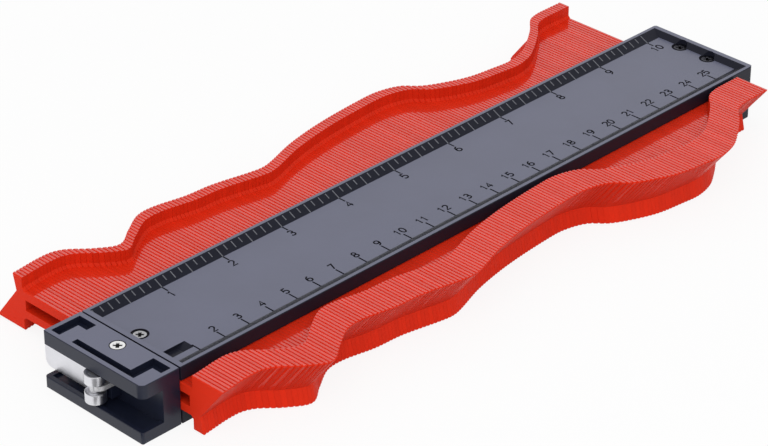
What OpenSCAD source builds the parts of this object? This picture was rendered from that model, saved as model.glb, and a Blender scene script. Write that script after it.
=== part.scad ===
// Contour gauge: a stack of identical leaves slides crosswise between two covers,
// and a cam lever at one end squeezes the stack so that it keeps its shape.
// Millimetres. X runs along the body away from the lever, Y across it towards the back,
// Z up. The origin is the middle of the body's underside.

/* [Leaves] */
// Distance from one leaf to the next
leaf_pitch = 1.39; // [1.1:0.01:2]
// Leaves that slide together as one group
leaves_per_group = 5; // [3:1:6]
// Number of groups in the stack
leaf_groups = 37; // [20:1:40]
// Height of the leaf's web, which runs between the covers
web_h = 10; // [8:0.2:12]
// Height of the long slot in the web
slot_h = 3.8; // [2.6:0.2:4.4]
// Solid web left between the slot's end and the head
slot_margin = 1.2; // [0.8:0.1:3]
// Distance between the inner faces of a leaf's two heads
head_span = 77.4; // [68:0.2:90]
// Width of a head's square stub
stub_w = 4.3; // [3.4:0.1:6]
// Width of a head at its neck, the deepest point of the outer notch
neck_w = 3; // [2:0.1:3.3]
// Height of the neck above the leaf's middle
neck_z = 3.8; // [1:0.2:6]
// Reach of a head's feeler tip from its inner face
tip_w = 13; // [8:0.5:18]
// Height of the blunt edge of the tip
tip_h = 0.5; // [0.3:0.1:1.5]
// Bevel where a head's inner face meets the web
foot_bevel = 0.9; // [0.3:0.1:1.5]

/* [Body] */
// Width of the covers
body_w = 44.2; // [36:0.2:50]
// Height from the underside to the rim
body_h = 20; // [18:0.2:26]
// Radius of the housing's upright corner at the back
corner_r = 0.5; // [0.3:0.1:4]
// Radius of the housing's upright corner at the front
front_corner_r = 2.5; // [1:0.1:4]
// Radius of the upright corners at the far end
end_corner_r = 1.6; // [0.3:0.1:4]
// Radius of the long outer edges
edge_r = 0.3; // [0.2:0.1:1.6]
// Width of the flat rim along the ruler tray
rim_w = 1.4; // [1:0.1:2.5]
// Width of the long sloping walls between the rim and the tray's floor
bevel_w = 3.7; // [2:0.1:5]
// Width of the rim at the far end
end_rim_w = 2.1; // [1:0.1:3]
// Width of the sloping wall at the tray's far end
end_bevel_w = 1.8; // [0.5:0.1:4]
// Depth of the ruler tray
tray_depth = 1.8; // [1:0.1:2]
// Flat strip of the top cover beside the seam
seam_strip = 2.5; // [1.5:0.1:5]
// Length of the end block
end_l = 9.3; // [8:0.1:14]

/* [Reference pocket] */
// Distance from the tray's near end to the pocket
pocket_x = 1.7; // [1:0.1:6]
// Distance from the tray floor's front edge to the pocket
pocket_y = 2.5; // [1.5:0.1:6]
// Length of the pocket's flat floor
pocket_l = 5.6; // [3:0.1:8]
// Length of the ramp that climbs out of the pocket
pocket_ramp = 3; // [1:0.1:4]
// Width of the pocket
pocket_w = 4.3; // [3:0.1:6]
// Depth of the pocket
pocket_d = 1.3; // [0.6:0.1:1.6]

/* [Lock housing] */
// Length of the lock housing
housing_l = 14.6; // [13.5:0.1:20]
// Thickness of the upper lip
lip_h = 4.8; // [4:0.1:5]
// Thickness of the lower plate
base_h = 4; // [3:0.1:5]
// Way that the lower plate stands out beyond the lip
base_out = 0.5; // [0.1:0.1:2]
// Depth of the gap that the lever folds into
gap_depth = 8; // [7.6:0.1:8.4]
// Width of the edge left round the recesses in the lip and the lower plate
lip_edge = 1.7; // [1.2:0.1:2.5]
// Depth of the recesses in the lip
lip_recess = 2.4; // [1:0.1:3]
// Depth of the recess in the lower plate
base_recess = 1; // [0.4:0.1:1.8]
// Width of the trench along the lip
trench_w = 1.8; // [1.2:0.1:2.6]
// Distance of the trench's back end from the middle of the body
trench_end = 11; // [6:0.2:12]
// Width of the arms of the corner recesses
arm_recess_w = 3.8; // [2.5:0.1:5]
// Length of the tongues that carry the covers
tongue_l = 10.5; // [9.5:0.5:16]
// Thickness of the tongues
tongue_t = 1.1; // [0.8:0.1:1.3]
// Width of the tongues
tongue_w = 16; // [12:1:20]

/* [Lock] */
// Distance of the lever's pivot from the end of the body
pivot_inset = 0.4; // [0.2:0.1:2.5]
// Thickness of the lever's blade
lever_t = 1.4; // [1:0.1:2]
// Reach of the blade from the pivot
lever_reach = 25.3; // [18:0.1:34]
// Radius of the blade's free corners
lever_corner = 2.6; // [1:0.1:4]
// Radius of the two cam knuckles
knuckle_r = 3.35; // [2.8:0.05:3.6]
// Offset of the knuckles from the pivot, which gives the squeeze
cam_offset = 0.4; // [0.2:0.05:0.6]
// Radius of the pivot pin
pin_r = 1.5; // [1:0.1:1.8]
// Thickness of the link plate between the knuckles
link_t = 1.6; // [1:0.1:2.8]
// Half width of the link plate and radius of its round ends
link_r = 3.1; // [2.8:0.1:3.3]
// Distance from the body's end to the anchor screw
anchor_inset = 10.1; // [9.8:0.1:10.4]
// Thickness of the pressure plate
press_t = 2.1; // [1.5:0.1:2.4]
// Width of the pressure plate
press_w = 16; // [12:0.5:17]
// Way that the pressure plate backs off when the lever is open
press_travel = 0.6; // [0.3:0.1:0.8]

/* [Rails] */
// Width of a guide rail
rail_w = 8; // [4:0.5:9]
// Distance of each rail from the middle of the body
rail_y = 13; // [12.8:0.1:14]
// Depth of the rails' seats in the housing and the end block
rail_seat = 5; // [3:0.5:6]

/* [Screws] */
// Radius of a cover screw's head
cover_head_r = 2; // [1.7:0.1:2.4]
// Height of a cover screw's head
screw_head_h = 0.7; // [0.5:0.1:1]
// Radius of a cover screw's shank
screw_r = 1.25; // [0.8:0.05:1.4]
// Length of an end screw's shank
end_screw_l = 6; // [4:0.5:7]
// Cover thickness left under a screw head
screw_seat = 0.9; // [0.6:0.1:1]
// Distance of the end screws from the far end of the body
end_screw_inset = 4.3; // [3.5:0.1:4.8]
// Half the distance between the end screws
end_screw_y = 6.2; // [5:0.1:7]
// Offset of the end screws to the back
end_screw_off = 0.9; // [0:0.1:1.2]
// Distance of the near screw from the seam
near_screw_x = 6; // [5.5:0.1:7]
// Offset of the near screw to the back
near_screw_y = 2.1; // [0:0.1:4]
// Radius of the anchor screw's head
anchor_head_r = 2.4; // [2:0.1:2.8]
// Radius of the anchor screw's shank
anchor_r = 1.5; // [1.2:0.1:1.8]
// Height of the anchor screw's sloping head
anchor_head_h = 1; // [0.7:0.1:1.2]

/* [Clearances] */
// Air between neighbouring leaves
leaf_gap = 0.04; // [0.02:0.01:0.1]
// Air between the stack and what squeezes it
stack_gap = 0.3; // [0.2:0.05:0.5]
// Air above and below the web, and above and below a rail in the slot
slide_gap = 0.25; // [0.15:0.05:0.4]
// Air left between a head and a cover at the end of the leaf's travel
stop_gap = 0.25; // [0.1:0.05:0.5]
// Air round a pin in its hole
pin_gap = 0.05; // [0.03:0.01:0.1]
// Air round a piece in its seat
seat_gap = 0.1; // [0.05:0.05:0.2]
// Air round a screw head in its counterbore
head_gap = 0.4; // [0.2:0.05:0.6]
// Air above the lever in the housing's gap
lever_gap = 0.25; // [0.2:0.05:1]
// Air between a knuckle and the link plate
knuckle_gap = 0.8; // [0.15:0.05:1]
// Height by which the body stands beyond the heads, above and below
head_inset = 0.45; // [0.2:0.05:1]
// Air between the knuckles and the pressure plate's arms
cam_gap = 0.15; // [0.12:0.01:0.3]
// Open seam between the housing and the covers
seam_gap = 0.35; // [0.1:0.05:0.4]

/* [Hidden] */
$fn = 48;
over = 1;
mid_z = body_h / 2;

// Shape that the leaves hold: [distance from the first leaf, push towards the back]
contour = [
    [0, 11.5], [14, 12.7], [20, 11], [27, 5], [34.5, 1], [42, 5.6], [50, 10.4], [57, 11],
    [69, 8.8], [80, 8], [97, 4.7], [102, 5], [117, 9.8], [134, 13], [155, 14.8], [163, 14.6],
    [171, 12], [176, 7.2], [182, 3.8], [192, 0], [203, -1.6], [211, -2.2], [219, -0.4],
    [226, 3.6], [233, 8.5], [241, 14.8], [257, 15.8]
];
contour_end = len(contour) - 1;

// Places along the body
stack_l = leaf_pitch * leaves_per_group * leaf_groups;
body_l = housing_l + stack_gap + stack_l + stack_gap + end_l;
near_x = -body_l / 2;
base_x = near_x - base_out;
far_x = body_l / 2;
seam_x = near_x + housing_l;
cover_x = seam_x + seam_gap;
stack_x = seam_x + stack_gap;
end_x = far_x - end_l;

// Covers
cover_z = mid_z + web_h / 2 + slide_gap;
cover_t = body_h - cover_z;
tray_x = seam_x + seam_strip;
bore_r = cover_head_r + head_gap;
seat_z = tongue_t + seat_gap + screw_seat;
near_screw = [seam_x + near_screw_x, near_screw_y];
end_screws = [for (y = [-end_screw_y, end_screw_y]) [far_x - end_screw_inset, end_screw_off + y]];
rail_h = slot_h - 2 * slide_gap;

// Lock
lever_h = 2 * (body_h - lip_h - mid_z - lever_gap);
knuckle_h = lever_h / 2 - link_t / 2 - knuckle_gap;
pivot_x = near_x + pivot_inset;
knuckle_x = pivot_x + cam_offset;
cam_face_x = knuckle_x + knuckle_r;
arm_x = cam_face_x + cam_gap;
press_x = stack_x - seat_gap - press_t;
arm_w = 2 * (link_r + seat_gap);
arm_in = link_t / 2 + 2 * seat_gap;
anchor_x = near_x + anchor_inset;
link_end_x = anchor_x + link_r;

// Height of a head, and the travel of a leaf either side of the middle: the bevel at the foot of a
// head meets the edge of a cover before the head does
head_h = body_h - 2 * head_inset;
leaf_travel = (head_span - body_w) / 2 - max(foot_bevel - slide_gap, 0) - stop_gap;

function two_digits(n) = str(n < 10 ? "0" : "", n);

FIXED_NODES = [
    "top_cover", "bottom_cover", "lock_housing", "end_block", "front_rail", "back_rail",
    "pressure_plate", "link_plate", "anchor_screw", "cam_lever", "pivot_pin",
    "top_screws", "bottom_screws"
];

// Slope of the contour at control point i, taken from its two neighbours
function contour_slope(i) =
    let (a = contour[max(i - 1, 0)], b = contour[min(i + 1, contour_end)])
    (b[1] - a[1]) / (b[0] - a[0]);

// Index of the stretch of the contour that holds the distance s
function contour_stretch(s, i = 0) =
    i == contour_end - 1 || s < contour[i + 1][0] ? i : contour_stretch(s, i + 1);

// Push of a leaf at distance s: a smooth cubic through the control points
function contour_at(s) =
    let (
        c = min(max(s, 0), contour[contour_end][0]),
        i = contour_stretch(c),
        a = contour[i],
        b = contour[i + 1],
        w = b[0] - a[0],
        t = (c - a[0]) / w
    )
    (1 + 2 * t) * pow(1 - t, 2) * a[1] + t * pow(1 - t, 2) * w * contour_slope(i)
    + t * t * (3 - 2 * t) * b[1] + t * t * (t - 1) * w * contour_slope(i + 1);

// Push of leaf number i, held within its travel
function leaf_push(i) =
    min(max(contour_at((i + 0.5) * leaf_pitch), -leaf_travel), leaf_travel);

// Rectangle from a to b with round corners: ends = [near, far] says which ends are round
module round_rect(a, b, r, ends = [true, true]) {
    translate(a + [ends[0] ? r : 0, 0])
        square(b - a - [(ends[0] ? r : 0) + (ends[1] ? r : 0), 0]);
    translate(a + [0, r])
        square(b - a - [0, 2 * r]);
    for (x = concat(ends[0] ? [a[0] + r] : [], ends[1] ? [b[0] - r] : []), y = [a[1] + r, b[1] - r])
        translate([x, y])
            circle(r);
}

// Draws a Y-Z outline and carries it along X for the length l
module along_x(x, l) {
    translate([x, 0, 0])
        rotate([90, 0, 90])
            linear_extrude(l)
                children();
}

// Draws an X-Z outline and carries it along Y over the width w, centred
module across_y(w) {
    translate([0, w / 2, 0])
        rotate([90, 0, 0])
            linear_extrude(w)
                children();
}

// Box between two corners
module box(a, b) {
    translate(a)
        cube(b - a);
}

// Upright hole or pin between two heights
module upright(p, z0, z1, r) {
    translate([p[0], p[1], z0])
        cylinder(h = z1 - z0, r = r);
}

// Turns a piece of the upper half over into the lower half
module lower_half() {
    translate([0, 0, body_h])
        mirror([0, 0, 1])
            children();
}

// Y-Z outline of one leaf about its own middle: the second head is the first turned half round
module leaf_outline() {
    hs = head_span / 2;
    hh = head_h / 2;
    wh = web_h / 2;
    head = [
        [hs - foot_bevel, wh], [hs, wh + foot_bevel], [hs, hh], [hs + stub_w, hh],
        [hs + neck_w, neck_z], [hs + tip_w, tip_h - hh], [hs + tip_w, -hh], [hs, -hh],
        [hs, -wh - foot_bevel], [hs - foot_bevel, -wh]
    ];
    slot = [2 * (hs - slot_margin), slot_h];
    difference() {
        polygon(concat(head, [for (p = head) -p]));
        square(slot, center = true);
    }
}

module leaf(i) {
    translate([0, leaf_push(i), mid_z])
        along_x(stack_x + i * leaf_pitch + leaf_gap / 2, leaf_pitch - leaf_gap)
            leaf_outline();
}

module leaf_group(g) {
    color("orangered")
        for (k = [0:leaves_per_group - 1])
            leaf((g - 1) * leaves_per_group + k);
}

// Solid that both covers start from: flat inner face at cover_z, round outer edges
module cover_block() {
    half = body_w / 2;
    intersection() {
        along_x(cover_x, far_x - cover_x)
            round_rect([-half, mid_z - cover_t], [half, body_h], edge_r);
        across_y(body_w)
            round_rect([cover_x, mid_z - cover_t], [far_x, body_h], edge_r, [false, true]);
        translate([0, 0, cover_z])
            linear_extrude(cover_t)
                round_rect([cover_x, -half], [far_x, half], end_corner_r, [false, true]);
    }
}

// Screw holes and the recess for the housing's tongue, cut from a cover's inner side
module cover_cuts() {
    box([cover_x - over, -tongue_w / 2 - seat_gap, cover_z - over],
        [seam_x + tongue_l + seat_gap, tongue_w / 2 + seat_gap, cover_z + tongue_t + seat_gap]);
    for (p = concat([near_screw], end_screws)) {
        upright(p, cover_z - over, body_h, screw_r + seat_gap);
        upright(p, cover_z + seat_z, body_h + over, bore_r);
    }
}

// Ruler tray: sloping walls at the back, the front and the far end, upright at the seam
module tray_cut() {
    floor_z = body_h - tray_depth;
    rim_y = body_w / 2 - rim_w;
    rim_x = far_x - end_rim_w;
    top_z = body_h + over;
    intersection() {
        along_x(tray_x, body_l)
            polygon([
                [bevel_w - rim_y, floor_z], [rim_y - bevel_w, floor_z], [rim_y, body_h],
                [rim_y, top_z], [-rim_y, top_z], [-rim_y, body_h]
            ]);
        across_y(body_w)
            polygon([
                [tray_x, floor_z], [rim_x - end_bevel_w, floor_z], [rim_x, body_h],
                [rim_x, top_z], [tray_x, top_z]
            ]);
    }
}

// Pocket beside the scale's first mark, with a ramp at its far end
module pocket_cut() {
    floor_z = body_h - tray_depth;
    x0 = tray_x + pocket_x;
    x1 = x0 + pocket_l;
    y0 = rim_w + bevel_w + pocket_y - body_w / 2;
    translate([0, y0 + pocket_w / 2, 0])
        across_y(pocket_w)
            polygon([
                [x0, floor_z + over], [x0, floor_z - pocket_d], [x1, floor_z - pocket_d],
                [x1 + pocket_ramp, floor_z], [x1 + pocket_ramp, floor_z + over]
            ]);
}

module top_cover() {
    color("dimgray")
        difference() {
            cover_block();
            cover_cuts();
            tray_cut();
            pocket_cut();
        }
}

module bottom_cover() {
    color("dimgray")
        lower_half()
            difference() {
                cover_block();
                cover_cuts();
            }
}

// Tongue that reaches under the top cover and takes its near screw
module tongue() {
    difference() {
        box([seam_x - over, -tongue_w / 2, cover_z],
            [seam_x + tongue_l, tongue_w / 2, cover_z + tongue_t]);
        upright(near_screw, cover_z - over, body_h, screw_r + pin_gap);
    }
}

// Recesses moulded into the lip's upper side: a trench along the end and an L at each corner
module lip_cuts() {
    top = body_h + over;
    low = body_h - lip_recess;
    edge_x = near_x + lip_edge;
    wall_x = seam_x - lip_edge;
    side = body_w / 2 - lip_edge;
    arm = arm_recess_w;
    slab = side - 2 * arm;
    box([edge_x, -side + arm, low], [edge_x + trench_w, trench_end, top]);
    box([edge_x, -slab - arm, low], [wall_x, -slab, top]);
    box([wall_x - arm, -side, low], [wall_x, -slab, top]);
    box([edge_x, side - arm, low], [wall_x, side, top]);
    box([wall_x - arm, slab, low], [wall_x, side, top]);
}

// Slab of the housing from x to the seam, between the heights z0 and z1
module housing_slab(x, z0, z1) {
    half = body_w / 2;
    intersection() {
        along_x(x, seam_x - x)
            round_rect([-half, z0], [half, z1], edge_r);
        across_y(body_w)
            round_rect([x, z0], [seam_x, z1], edge_r, [true, false]);
        linear_extrude(body_h) {
            round_rect([x, -half], [seam_x, half], front_corner_r, [true, false]);
            round_rect([x, 0], [seam_x, half], corner_r, [true, false]);
        }
    }
}

// Room for the pressure plate, its arms and the ends of the rails
module housing_cuts() {
    arm_top = lever_h / 2 + 2 * seat_gap;
    press_y = press_w / 2 + seat_gap;
    press_z = web_h / 2 + seat_gap;
    press_back = press_x - press_travel - seat_gap;
    gap_x = near_x + gap_depth;
    side = body_w / 2 - lip_edge;
    box([base_x - over, -body_w, base_h], [gap_x, body_w, body_h - lip_h]);
    box([base_x + lip_edge, -side, base_h - base_recess], [gap_x, side, base_h + over]);
    box([gap_x - over, -arm_w / 2 - seat_gap, mid_z - arm_top],
        [seam_x, arm_w / 2 + seat_gap, mid_z + arm_top]);
    box([press_back, -press_y, mid_z - press_z], [seam_x + over, press_y, mid_z + press_z]);
    rail_seats(seam_x - rail_seat, seam_x + over);
    upright([anchor_x, 0], base_h / 2, body_h, anchor_r + pin_gap);
    translate([anchor_x, 0, body_h])
        anchor_head(pin_gap);
}

// Slots that take the ends of both rails
module rail_seats(x0, x1) {
    hy = rail_w / 2 + pin_gap;
    hz = rail_h / 2 + pin_gap;
    for (y = [-rail_y, rail_y])
        box([x0, y - hy, mid_z - hz], [x1, y + hy, mid_z + hz]);
}

module lock_housing() {
    color("dimgray") {
        difference() {
            union() {
                housing_slab(near_x, 0, body_h);
                housing_slab(base_x, 0, base_h);
            }
            housing_cuts();
            lip_cuts();
        }
        tongue_pair();
    }
}

module tongue_pair() {
    tongue();
    lower_half()
        tongue();
}

module end_block() {
    half = body_w / 2;
    color("dimgray")
        difference() {
            translate([0, 0, body_h - cover_z])
                linear_extrude(2 * cover_z - body_h)
                    round_rect([end_x, -half], [far_x, half], end_corner_r, [false, true]);
            rail_seats(end_x - over, end_x + rail_seat);
            for (p = end_screws)
                upright(p, 0, body_h, screw_r + pin_gap);
        }
}

module rail(y) {
    color("silver")
        box([seam_x - rail_seat + seat_gap, y - rail_w / 2, mid_z - rail_h / 2],
            [end_x + rail_seat - seat_gap, y + rail_w / 2, mid_z + rail_h / 2]);
}

// Plate that bears on the first leaf: an arm above and below the link plate, and a pocket for
// the link's round end when the plate backs off
module pressure_plate() {
    hz = web_h / 2;
    slot_x = anchor_r + seat_gap;
    color("darkslategray")
        difference() {
            union() {
                box([press_x, -press_w / 2, mid_z - hz], [press_x + press_t, press_w / 2, mid_z + hz]);
                box([arm_x, -arm_w / 2, mid_z - lever_h / 2],
                    [press_x + press_t / 2, arm_w / 2, mid_z + lever_h / 2]);
            }
            box([arm_x - over, -arm_w, mid_z - arm_in], [press_x, arm_w, mid_z + arm_in]);
            box([press_x - over, -arm_w / 2, mid_z - arm_in],
                [link_end_x + press_travel + cam_gap, arm_w / 2, mid_z + arm_in]);
            box([anchor_x - slot_x, -slot_x, 0], [anchor_x + slot_x + press_travel, slot_x, body_h]);
        }
}

// Flat link from the anchor screw to the lever's pin
module link_plate() {
    color("silver")
        translate([0, 0, mid_z - link_t / 2])
            linear_extrude(link_t)
                difference() {
                    union() {
                        translate([pivot_x, -link_r])
                            square([anchor_x - pivot_x, 2 * link_r]);
                        for (x = [pivot_x, anchor_x])
                            translate([x, 0])
                                circle(link_r);
                    }
                    translate([pivot_x, 0])
                        circle(pin_r + pin_gap);
                    translate([anchor_x, 0])
                        circle(anchor_r + pin_gap);
                }
}

// Sloping head of the anchor screw, hung from its top face; the seat is the same shape plus a gap
module anchor_head(gap) {
    rotate_extrude()
        polygon([
            [0, over * sign(gap)], [anchor_head_r + gap, over * sign(gap)], [anchor_head_r + gap, -gap],
            [anchor_r + gap, -anchor_head_h - gap], [0, -anchor_head_h - gap]
        ]);
}

module anchor_screw() {
    color("gainsboro") {
        upright([anchor_x, 0], base_h / 2 + seat_gap, body_h - anchor_head_h / 2, anchor_r);
        translate([anchor_x, 0, body_h])
            anchor_head(0);
    }
}

// Lever: a flat blade rolled into two knuckles, with a notch between them for the link plate
module cam_lever() {
    notch_z = link_t / 2 + knuckle_gap;
    color("gainsboro")
        difference() {
            union() {
                for (z = [mid_z - lever_h / 2, mid_z + lever_h / 2 - knuckle_h])
                    upright([knuckle_x, 0], z, z + knuckle_h, knuckle_r);
                translate([0, 0, mid_z])
                    along_x(cam_face_x - lever_t, lever_t)
                        round_rect([0, -lever_h / 2], [lever_reach, lever_h / 2], lever_corner,
                                   [false, true]);
            }
            upright([pivot_x, 0], 0, body_h, pin_r);
            box([near_x - 2 * knuckle_r, -arm_w, mid_z - notch_z],
                [cam_face_x + over, link_r + 2 * seat_gap, mid_z + notch_z]);
        }
}

module pivot_pin() {
    color("silver")
        upright([pivot_x, 0], mid_z - lever_h / 2, mid_z + lever_h / 2, pin_r);
}

// Flat-topped screw at p: the head rests on the seat in the cover
module cover_screw(p, l) {
    z = cover_z + seat_z;
    upright(p, z, z + screw_head_h, cover_head_r);
    upright(p, z - l, z, screw_r);
}

module cover_screws() {
    cover_screw(near_screw, seat_z);
    for (p = end_screws)
        cover_screw(p, end_screw_l);
}

module top_screws() {
    color("slategray")
        cover_screws();
}

module bottom_screws() {
    color("slategray")
        lower_half()
            cover_screws();
}

top_cover();
bottom_cover();
lock_housing();
end_block();
rail(-rail_y);  // front_rail
rail(rail_y);  // back_rail
pressure_plate();
link_plate();
anchor_screw();
cam_lever();
pivot_pin();
top_screws();
bottom_screws();
for (g = [1:leaf_groups])
    leaf_group(g);
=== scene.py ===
"""Dresses the contour gauge: leaves with broken edges, screws, ruler marks, finishes and the stage."""
import math

import bmesh
import bpy
import numpy as np
from bpy.props import FloatProperty, FloatVectorProperty, IntProperty, PointerProperty
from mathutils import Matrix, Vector


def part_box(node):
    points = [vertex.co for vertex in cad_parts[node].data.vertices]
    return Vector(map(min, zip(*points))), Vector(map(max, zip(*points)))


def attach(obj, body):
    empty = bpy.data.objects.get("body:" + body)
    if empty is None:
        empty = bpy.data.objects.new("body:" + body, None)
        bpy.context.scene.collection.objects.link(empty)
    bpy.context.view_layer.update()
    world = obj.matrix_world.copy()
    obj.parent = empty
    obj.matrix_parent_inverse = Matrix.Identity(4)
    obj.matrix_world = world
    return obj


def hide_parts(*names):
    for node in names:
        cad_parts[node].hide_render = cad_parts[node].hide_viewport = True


bl_info = {
    "name": "Contour gauge",
    "version": (1, 0, 0),
    "blender": (4, 5, 0),
    "location": "View3D > Sidebar > Gauge",
    "description": "Leaves, lock, screws, ruler and stage of a contour gauge",
    "category": "Object",
}

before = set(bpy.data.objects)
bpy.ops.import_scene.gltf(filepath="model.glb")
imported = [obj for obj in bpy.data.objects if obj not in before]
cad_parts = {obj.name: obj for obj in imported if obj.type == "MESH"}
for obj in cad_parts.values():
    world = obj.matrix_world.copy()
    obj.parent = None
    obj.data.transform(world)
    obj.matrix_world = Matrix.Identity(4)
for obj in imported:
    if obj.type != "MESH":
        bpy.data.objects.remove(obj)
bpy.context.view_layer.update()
MM = 0.001
INCH = 25.4 * MM
TINY = 1e-6
MERGE = 0.002 * MM          # points nearer than this are one
FACE_SLACK = 0.01 * MM      # how far a point may lie from the end face that it belongs to
WALL_SLACK = 0.05 * MM      # the same for a wall whose place is a rounded value
FLAT = math.radians(0.5)    # faces that meet at less than this are one
BREAK = math.radians(20)    # the body's edges are rounded from this angle on
SMOOTH = math.radians(50)   # edges over this angle stay sharp in the shading
SCREW_SMOOTH = math.radians(30)
DRAWN_X, DRAWN_Y, UNDRAWN = (0.06, 1, 1), (1, 0.06, 1), (1, 1, 1)   # ways of a metal's fine lines
DIGIT_WIDTH, DIGIT_SPACE = 0.6, 0.22    # shares of a digit's height


def node_points(node):
    """The corners of a CAD node's mesh, as an array."""
    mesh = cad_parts[node].data
    points = np.empty(len(mesh.vertices) * 3)
    mesh.vertices.foreach_get("co", points)
    return points.reshape(-1, 3)


LEAF_NODES = sorted(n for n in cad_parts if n.startswith("leaves_"))
STACK_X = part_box(LEAF_NODES[0])[0].x
COVER_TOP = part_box("top_cover")[1]
SEAM_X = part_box("top_cover")[0].x


def length(name, description, mm):
    """A property for a length, given in millimetres."""
    return FloatProperty(name=name, description=description, default=mm * MM, unit="LENGTH", precision=5)


def plain(name, description, value):
    """A property for a share, an angle or another plain number."""
    return FloatProperty(name=name, description=description, default=value)


def colour(name, description, rgb):
    """A property for a colour, in linear values."""
    return FloatVectorProperty(name=name, description=description, default=rgb, subtype="COLOR", min=0, max=1)


class LeafSizes(bpy.types.PropertyGroup):
    """Outline of one leaf, the same as the solid's, the break along its edges and the lean of its ends."""
    count: IntProperty(name="Leaves in a group", description="Leaves that slide together", default=5)
    pitch: length("Pitch", "Distance from one leaf to the next", 1.39)
    gap: length("Gap", "Air between neighbouring leaves", 0.04)
    middle: length("Middle height", "Height of the leaf's middle above the bench", 10)
    web: length("Web height", "Height of the web between the covers", 10)
    slot_height: length("Slot height", "Height of the long slot in the web", 3.8)
    slot_margin: length("Slot margin", "Solid web between the slot's end and the head", 1.2)
    span: length("Head span", "Distance between the inner faces of the two heads", 77.4)
    head: length("Head height", "Height of a head", 19.1)
    stub: length("Stub", "Width of a head's square stub", 4.3)
    neck: length("Neck", "Width of a head at the deepest point of its notch", 3)
    neck_height: length("Neck height", "Height of the neck above the leaf's middle", 3.8)
    tip: length("Tip", "Reach of the feeler tip from the head's inner face", 13)
    tip_height: length("Tip height", "Height of the blunt edge of the tip", 0.5)
    bevel: length("Foot bevel", "Bevel where a head meets the web", 0.9)
    edge: length("Edge break", "Chamfer along the leaf's level edges", 0.27)
    side_edge: length("Side break", "Chamfer along the leaf's upright edges", 0.03)
    inner_rake: plain("Inner rake", "Share of the contour's slope in the inner faces", 0.8)
    tip_rake: plain("Tip rake", "Share of the contour's slope in the tips' edges", 0.4)


class BodySizes(bpy.types.PropertyGroup):
    """Small departures of the body's and the lock's shells from the solids."""
    edge: length("Edge", "Round along the shells' sharp edges", 0.16)
    seam: length("Seam", "Set-back of the covers' near faces, which opens the seam", 0.25)
    base: length("Base height", "Height below which the housing's corners change", 4.6)
    solid_front: length("Solid's front corner", "Radius of the solid's front corner", 2.5)
    solid_back: length("Solid's back corner", "Radius of the solid's back corner", 0.5)
    base_front: length("Base's front corner", "Radius of the base's front corner", 1.0)
    base_back: length("Base's back corner", "Radius of the base's back corner", 1.1)
    base_rim: length("Base's rim", "Depth of the corner's outer surface, with its edge breaks", 0.4)
    trench: length("Trench wall", "Distance of the lip's trench wall from the housing's near end", 4.0)
    trench_more: length("Trench widening", "Way that the trench wall goes further in", 0.5)
    link_reach: length("Link end", "Length of the link's round end", 3.4)
    link_back: length("Link set-back", "Set-back of the link's round end behind the knuckles", 1.9)
    lever_edge: length("Lever edge", "Round along the lever's sharp edges", 0.2)
    link_edge: length("Link edge", "Round along the link's sharp edges", 0.1)


class ScrewSizes(bpy.types.PropertyGroup):
    """Heads, shanks and cross recesses of the screws, and the painted shadow rings round their bores."""
    edge: length("Edge", "Round along a head's rim", 0.18)
    head: length("Head height", "Height of a cover screw's head", 0.7)
    shank: length("Shank", "Radius of a cover screw's shank", 1.25)
    wider: length("Wider head", "Way that a top screw's head is wider than the solid's", 0.22)
    anchor_head: length("Anchor head height", "Height of the anchor screw's head", 1.0)
    anchor_shank: length("Anchor shank", "Radius of the anchor screw's shank", 1.5)
    recess: length("Recess", "Depth of the cross recess", 0.75)
    bar: plain("Bar", "Half width of a recess's bar, as a share of the head's radius", 0.17)
    bar_wall: length("Bar wall", "Way that a bar's walls reach beyond it", 0.12)
    reach: plain("Reach", "Reach of a bar, as a share of the head's radius", 0.62)
    wall_slope: plain("Wall slope", "Slope of a bar's walls", 3.5)
    end_slope: plain("End slope", "Slope of a bar's run-outs", 1.6)
    ring_gap: length("Ring gap", "Distance of a bore's dark ring from the head", 0.03)
    ring_reach: length("Ring reach", "Reach of a bore's dark ring beyond the head", 0.72)
    anchor_ring: length("Anchor ring", "Width of the dark ring round the anchor screw", 0.25)
    ring_lift: length("Ring lift", "Height of a dark ring over its surface", 0.02)


class RulerSizes(bpy.types.PropertyGroup):
    """Places and strokes of the ruler's marks."""
    zero: length("Zero", "Place of the scales' zero along the body", -123.36)
    inches: IntProperty(name="Inches", description="Last inch on the back scale", default=10)
    centimetres: IntProperty(name="Centimetres", description="Last centimetre on the front scale", default=25)
    rim: length("Rim", "Width of the flat rim round the tray", 1.4)
    bevel: length("Bevel", "Width of the long sloping walls of the tray", 3.7)
    depth: length("Depth", "Depth of the tray", 1.8)
    stroke: length("Stroke", "Width of an engraved stroke", 0.52)
    inset: length("Stroke height", "Height of the inlaid stroke over the floor", 0.03)
    rib: length("Rib", "Width of a mark on the sloping walls", 0.36)
    rib_height: length("Rib height", "Height of a mark on the sloping walls", 0.07)
    rib_start: plain("Rib start", "Share of the wall that lies above a mark", 0.12)
    inch_tick: length("Inch tick", "Length of an inch tick on the floor", 2.7)
    centimetre_tick: length("Centimetre tick", "Length of a centimetre tick on the floor", 3.6)
    inch_digit: length("Inch digit", "Height of an inch digit", 3)
    centimetre_digit: length("Centimetre digit", "Height of a centimetre digit", 2.8)
    digit_gap: length("Digit gap", "Distance from a tick's end to its digit", 0.6)
    digit_shift: length("Digit shift", "Way of a number from its tick, forwards or backwards", 0.4)


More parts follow.
